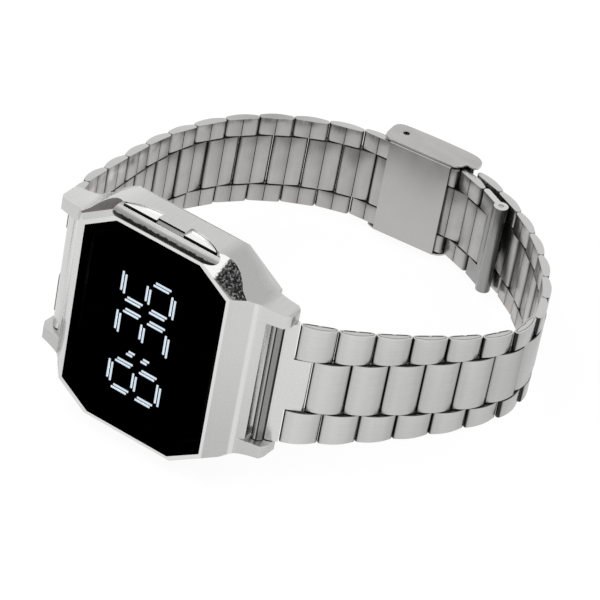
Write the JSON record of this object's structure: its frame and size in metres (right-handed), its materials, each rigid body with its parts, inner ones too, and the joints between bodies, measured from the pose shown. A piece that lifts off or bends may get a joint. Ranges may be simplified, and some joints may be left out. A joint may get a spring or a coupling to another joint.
{
  "type": "wristwatch",
  "caption": "LED wristwatch with an octagonal black window, side pushers, hinged three-row steel bracelet and fold-over sliding clasp, closed round the wrist.",
  "frame": {"origin": "centre of the case back's flat outer face", "axes": "+Y out of the case back (the dial looks along -Y), +X towards 6 o'clock, +Z towards 3 o'clock, so the wrist passes through along Z"},
  "size_m": [0.0757, 0.0754, 0.0428],
  "materials": {
    "case_steel": "brushed bevels and flanks with polished corner facets and groove",
    "back_steel": "satin",
    "pusher_steel": "polished",
    "link_steel": "brushed along the strap, bright at the folded edges",
    "clasp_steel": "brushed",
    "spring_steel": "drawn",
    "window": "dark tinted, flat and polished",
    "display_black": "matte",
    "lit_strokes": "lit",
    "holder_plastic": "moulded",
    "board_green": "lacquered",
    "battery_steel": "drawn",
    "contact_brass": "stamped",
    "rubber_black": "matte"
  },
  "bodies": {
    "case": {"case_body": "case_steel", "lens": "window", "display_board": "display_black", "led_strokes": "lit_strokes", "module_holder": "holder_plastic", "circuit_board": "board_green", "battery": "battery_steel", "battery_clip": "contact_brass", "case_back": "back_steel", "back_gasket": "rubber_black", "back_screws": "back_steel", "pusher_springs": "spring_steel", "pusher_seals": "rubber_black", "spring_bar_tubes": "spring_steel", "spring_bar_springs": "spring_steel"},
    "pusher_twelve": {"pusher_twelve": "pusher_steel"},
    "pusher_six": {"pusher_six": "pusher_steel"},
    "tip_six_top": {"tip_six_top": "spring_steel"},
    "tip_six_bottom": {"tip_six_bottom": "spring_steel"},
    "tip_twelve_top": {"tip_twelve_top": "spring_steel"},
    "tip_twelve_bottom": {"tip_twelve_bottom": "spring_steel"},
    "end_link_six": {"end_link_six": "link_steel"},
    "six_link_01": {"six_link_01": "link_steel"},
    "six_link_02": {"six_link_02": "link_steel"},
    "six_link_03": {"six_link_03": "link_steel"},
    "six_link_04": {"six_link_04": "link_steel"},
    "six_link_05": {"six_link_05": "link_steel"},
    "six_link_06": {"six_link_06": "link_steel"},
    "six_link_07": {"six_link_07": "link_steel"},
    "six_link_08": {"six_link_08": "link_steel"},
    "six_link_09": {"six_link_09": "link_steel"},
    "six_link_10": {"six_link_10": "link_steel"},
    "six_link_11": {"six_link_11": "link_steel"},
    "six_link_12": {"six_link_12": "link_steel"},
    "six_link_13": {"six_link_13": "link_steel"},
    "six_link_14": {"six_link_14": "link_steel"},
    "clasp_cover": {"clasp_cover": "clasp_steel"},
    "end_link_twelve": {"end_link_twelve": "link_steel"},
    "twelve_link_01": {"twelve_link_01": "link_steel"},
    "twelve_link_02": {"twelve_link_02": "link_steel"},
    "twelve_link_03": {"twelve_link_03": "link_steel"},
    "twelve_link_04": {"twelve_link_04": "link_steel"},
    "twelve_link_05": {"twelve_link_05": "link_steel"},
    "twelve_link_06": {"twelve_link_06": "link_steel"},
    "twelve_link_07": {"twelve_link_07": "link_steel"},
    "twelve_link_08": {"twelve_link_08": "link_steel"},
    "twelve_link_09": {"twelve_link_09": "link_steel"},
    "twelve_link_10": {"twelve_link_10": "link_steel"},
    "twelve_link_11": {"twelve_link_11": "link_steel"},
    "clasp_end": {"twelve_link_12": "link_steel", "twelve_link_13": "link_steel", "twelve_link_14": "link_steel", "clasp_sleeve": "clasp_steel"},
    "lock_flap": {"lock_flap": "clasp_steel"},
    "twelve_link_15": {"twelve_link_15": "link_steel"},
    "tail_end": {"tail_end": "link_steel"}
  },
  "joints": [
    {"name": "push_twelve", "type": "slide", "parent": "case", "child": "pusher_twelve", "axis": [0, 0, -1], "range_m": [0, 0.0006], "stiffness_N_per_m": 800, "springref_m": -0.0004},
    {"name": "push_six", "type": "slide", "parent": "case", "child": "pusher_six", "axis": [0, 0, -1], "range_m": [0, 0.0006], "stiffness_N_per_m": 800, "springref_m": -0.0004},
    {"name": "release_six_top", "type": "slide", "parent": "case", "child": "tip_six_top", "axis": [0, 0, -1], "range_m": [0, 0.0013], "stiffness_N_per_m": 500, "springref_m": -0.0004},
    {"name": "release_six_bottom", "type": "slide", "parent": "case", "child": "tip_six_bottom", "axis": [0, 0, 1], "range_m": [0, 0.0013], "stiffness_N_per_m": 500, "springref_m": -0.0004},
    {"name": "release_twelve_top", "type": "slide", "parent": "case", "child": "tip_twelve_top", "axis": [0, 0, -1], "range_m": [0, 0.0013], "stiffness_N_per_m": 500, "springref_m": -0.0004},
    {"name": "release_twelve_bottom", "type": "slide", "parent": "case", "child": "tip_twelve_bottom", "axis": [0, 0, 1], "range_m": [0, 0.0013], "stiffness_N_per_m": 500, "springref_m": -0.0004},
    {"name": "bracelet_open", "type": "hinge", "parent": "case", "child": "end_link_six", "pos_m": [0.02066, -0.00354, 0], "axis": [0, 0, -1], "range_deg": [0, 30]},
    {"name": "bend_six_01", "type": "hinge", "parent": "end_link_six", "child": "six_link_01", "pos_m": [0.02499, -0.00104, 0], "axis": [0, 0, -1], "range_deg": [0, 8.01]},
    {"name": "bend_six_02", "type": "hinge", "parent": "six_link_01", "child": "six_link_02", "pos_m": [0.02992, 0.00281, 0], "axis": [0, 0, -1], "range_deg": [0, 7.01]},
    {"name": "bend_six_03", "type": "hinge", "parent": "six_link_02", "child": "six_link_03", "pos_m": [0.03433, 0.00723, 0], "axis": [0, 0, -1], "range_deg": [0, 4.01]},
    {"name": "bend_six_04", "type": "hinge", "parent": "six_link_03", "child": "six_link_04", "pos_m": [0.03844, 0.01194, 0], "axis": [0, 0, -1], "range_deg": [0, 4.01]},
    {"name": "bend_six_05", "type": "hinge", "parent": "six_link_04", "child": "six_link_05", "pos_m": [0.0422, 0.01693, 0], "axis": [0, 0, -1], "range_deg": [0, 5.01]},
    {"name": "bend_six_06", "type": "hinge", "parent": "six_link_05", "child": "six_link_06", "pos_m": [0.04551, 0.02223, 0], "axis": [0, 0, -1], "range_deg": [0, 11.01]},
    {"name": "bend_six_07", "type": "hinge", "parent": "six_link_06", "child": "six_link_07", "pos_m": [0.04775, 0.02807, 0], "axis": [0, 0, -1], "range_deg": [0, 23.01]},
    {"name": "bend_six_08", "type": "hinge", "parent": "six_link_07", "child": "six_link_08", "pos_m": [0.04753, 0.03431, 0], "axis": [0, 0, -1], "range_deg": [0, 20.01]},
    {"name": "bend_six_09", "type": "hinge", "parent": "six_link_08", "child": "six_link_09", "pos_m": [0.04519, 0.04011, 0], "axis": [0, 0, -1], "range_deg": [0, 11.01]},
    {"name": "bend_six_10", "type": "hinge", "parent": "six_link_09", "child": "six_link_10", "pos_m": [0.04179, 0.04535, 0], "axis": [0, 0, -1], "range_deg": [0, 8.01]},
    {"name": "bend_six_11", "type": "hinge", "parent": "six_link_10", "child": "six_link_11", "pos_m": [0.03769, 0.05007, 0], "axis": [0, 0, -1], "range_deg": [0, 7.01]},
    {"name": "bend_six_12", "type": "hinge", "parent": "six_link_11", "child": "six_link_12", "pos_m": [0.03304, 0.05425, 0], "axis": [0, 0, -1], "range_deg": [0, 8.01]},
    {"name": "bend_six_13", "type": "hinge", "parent": "six_link_12", "child": "six_link_13", "pos_m": [0.02786, 0.05775, 0], "axis": [0, 0, -1], "range_deg": [0, 8.01]},
    {"name": "bend_six_14", "type": "hinge", "parent": "six_link_13", "child": "six_link_14", "pos_m": [0.02225, 0.06049, 0], "axis": [0, 0, -1], "range_deg": [0, 9.01]},
    {"name": "clasp_cover_open", "type": "hinge", "parent": "six_link_14", "child": "clasp_cover", "pos_m": [0.01627, 0.06232, 0], "axis": [0, 0, -1], "range_deg": [0, 100]},
    {"name": "bend_twelve_end", "type": "hinge", "parent": "case", "child": "end_link_twelve", "pos_m": [-0.02066, -0.00354, 0], "axis": [0, 0, 1], "range_deg": [0, 52.01]},
    {"name": "bend_twelve_01", "type": "hinge", "parent": "end_link_twelve", "child": "twelve_link_01", "pos_m": [-0.02374, 0.0004, 0], "axis": [0, 0, 1], "range_deg": [0, 23.01]},
    {"name": "bend_twelve_02", "type": "hinge", "parent": "twelve_link_01", "child": "twelve_link_02", "pos_m": [-0.02536, 0.00644, 0], "axis": [0, 0, 1], "range_deg": [0, 12.01]},
    {"name": "bend_twelve_03", "type": "hinge", "parent": "twelve_link_02", "child": "twelve_link_03", "pos_m": [-0.02568, 0.01268, 0], "axis": [0, 0, 1], "range_deg": [0, 1.01]},
    {"name": "bend_twelve_04", "type": "hinge", "parent": "twelve_link_03", "child": "twelve_link_04", "pos_m": [-0.0259, 0.01893, 0], "axis": [0, 0, 1], "range_deg": [0, 1.01]},
    {"name": "bend_twelve_05", "type": "hinge", "parent": "twelve_link_04", "child": "twelve_link_05", "pos_m": [-0.02601, 0.02517, 0], "axis": [0, 0, 1], "range_deg": [0, 5.01]},
    {"name": "bend_twelve_06", "type": "hinge", "parent": "twelve_link_05", "child": "twelve_link_06", "pos_m": [-0.02557, 0.03141, 0], "axis": [0, 0, 1], "range_deg": [0, 9.01]},
    {"name": "bend_twelve_07", "type": "hinge", "parent": "twelve_link_06", "child": "twelve_link_07", "pos_m": [-0.02417, 0.0375, 0], "axis": [0, 0, 1], "range_deg": [0, 13.01]},
    {"name": "bend_twelve_08", "type": "hinge", "parent": "twelve_link_07", "child": "twelve_link_08", "pos_m": [-0.02143, 0.04312, 0], "axis": [0, 0, 1], "range_deg": [0, 11.01]},
    {"name": "bend_twelve_09", "type": "hinge", "parent": "twelve_link_08", "child": "twelve_link_09", "pos_m": [-0.01767, 0.04811, 0], "axis": [0, 0, 1], "range_deg": [0, 11.01]},
    {"name": "bend_twelve_10", "type": "hinge", "parent": "twelve_link_09", "child": "twelve_link_10", "pos_m": [-0.01302, 0.05229, 0], "axis": [0, 0, 1], "range_deg": [0, 9.01]},
    {"name": "bend_twelve_11", "type": "hinge", "parent": "twelve_link_10", "child": "twelve_link_11", "pos_m": [-0.00778, 0.05569, 0], "axis": [0, 0, 1], "range_deg": [0, 11.01]},
    {"name": "bend_twelve_12", "type": "hinge", "parent": "twelve_link_11", "child": "clasp_end", "pos_m": [-0.00198, 0.05803, 0], "axis": [0, 0, 1], "range_deg": [0, 16.01]},
    {"name": "lock_flap_lift", "type": "hinge", "parent": "clasp_end", "child": "lock_flap", "pos_m": [0.0042, 0.0614, 0], "axis": [0, 0, 1], "range_deg": [0, 28]},
    {"name": "tail_bend", "type": "hinge", "parent": "clasp_end", "child": "twelve_link_15", "pos_m": [0.01666, 0.05999, 0], "axis": [0, 0, -1], "range_deg": [0, 45]},
    {"name": "tail_end_bend", "type": "hinge", "parent": "twelve_link_15", "child": "tail_end", "pos_m": [0.02255, 0.05789, 0], "axis": [0, 0, -1], "range_deg": [0, 60]}
  ],
  "couplings": [
    {"joint": "bend_six_01", "follows": "bracelet_open", "ratio": 0.2667},
    {"joint": "bend_six_02", "follows": "bracelet_open", "ratio": 0.23336},
    {"joint": "bend_six_03", "follows": "bracelet_open", "ratio": 0.13335},
    {"joint": "bend_six_04", "follows": "bracelet_open", "ratio": 0.13335},
    {"joint": "bend_six_05", "follows": "bracelet_open", "ratio": 0.16669},
    {"joint": "bend_six_06", "follows": "bracelet_open", "ratio": 0.36672},
    {"joint": "bend_six_07", "follows": "bracelet_open", "ratio": 0.76677},
    {"joint": "bend_six_08", "follows": "bracelet_open", "ratio": 0.66676},
    {"joint": "bend_six_09", "follows": "bracelet_open", "ratio": 0.36672},
    {"joint": "bend_six_10", "follows": "bracelet_open", "ratio": 0.2667},
    {"joint": "bend_six_11", "follows": "bracelet_open", "ratio": 0.23336},
    {"joint": "bend_six_12", "follows": "bracelet_open", "ratio": 0.2667},
    {"joint": "bend_six_13", "follows": "bracelet_open", "ratio": 0.2667},
    {"joint": "bend_six_14", "follows": "bracelet_open", "ratio": 0.30004},
    {"joint": "bend_twelve_end", "follows": "bracelet_open", "ratio": 1.7336},
    {"joint": "bend_twelve_01", "follows": "bracelet_open", "ratio": 0.76677},
    {"joint": "bend_twelve_02", "follows": "bracelet_open", "ratio": 0.40005},
    {"joint": "bend_twelve_03", "follows": "bracelet_open", "ratio": 0.033338},
    {"joint": "bend_twelve_04", "follows": "bracelet_open", "ratio": 0.033338},
    {"joint": "bend_twelve_05", "follows": "bracelet_open", "ratio": 0.16669},
    {"joint": "bend_twelve_06", "follows": "bracelet_open", "ratio": 0.30004},
    {"joint": "bend_twelve_07", "follows": "bracelet_open", "ratio": 0.43339},
    {"joint": "bend_twelve_08", "follows": "bracelet_open", "ratio": 0.36672},
    {"joint": "bend_twelve_09", "follows": "bracelet_open", "ratio": 0.36672},
    {"joint": "bend_twelve_10", "follows": "bracelet_open", "ratio": 0.30004},
    {"joint": "bend_twelve_11", "follows": "bracelet_open", "ratio": 0.36672},
    {"joint": "bend_twelve_12", "follows": "bracelet_open", "ratio": 0.5334}
  ]
}
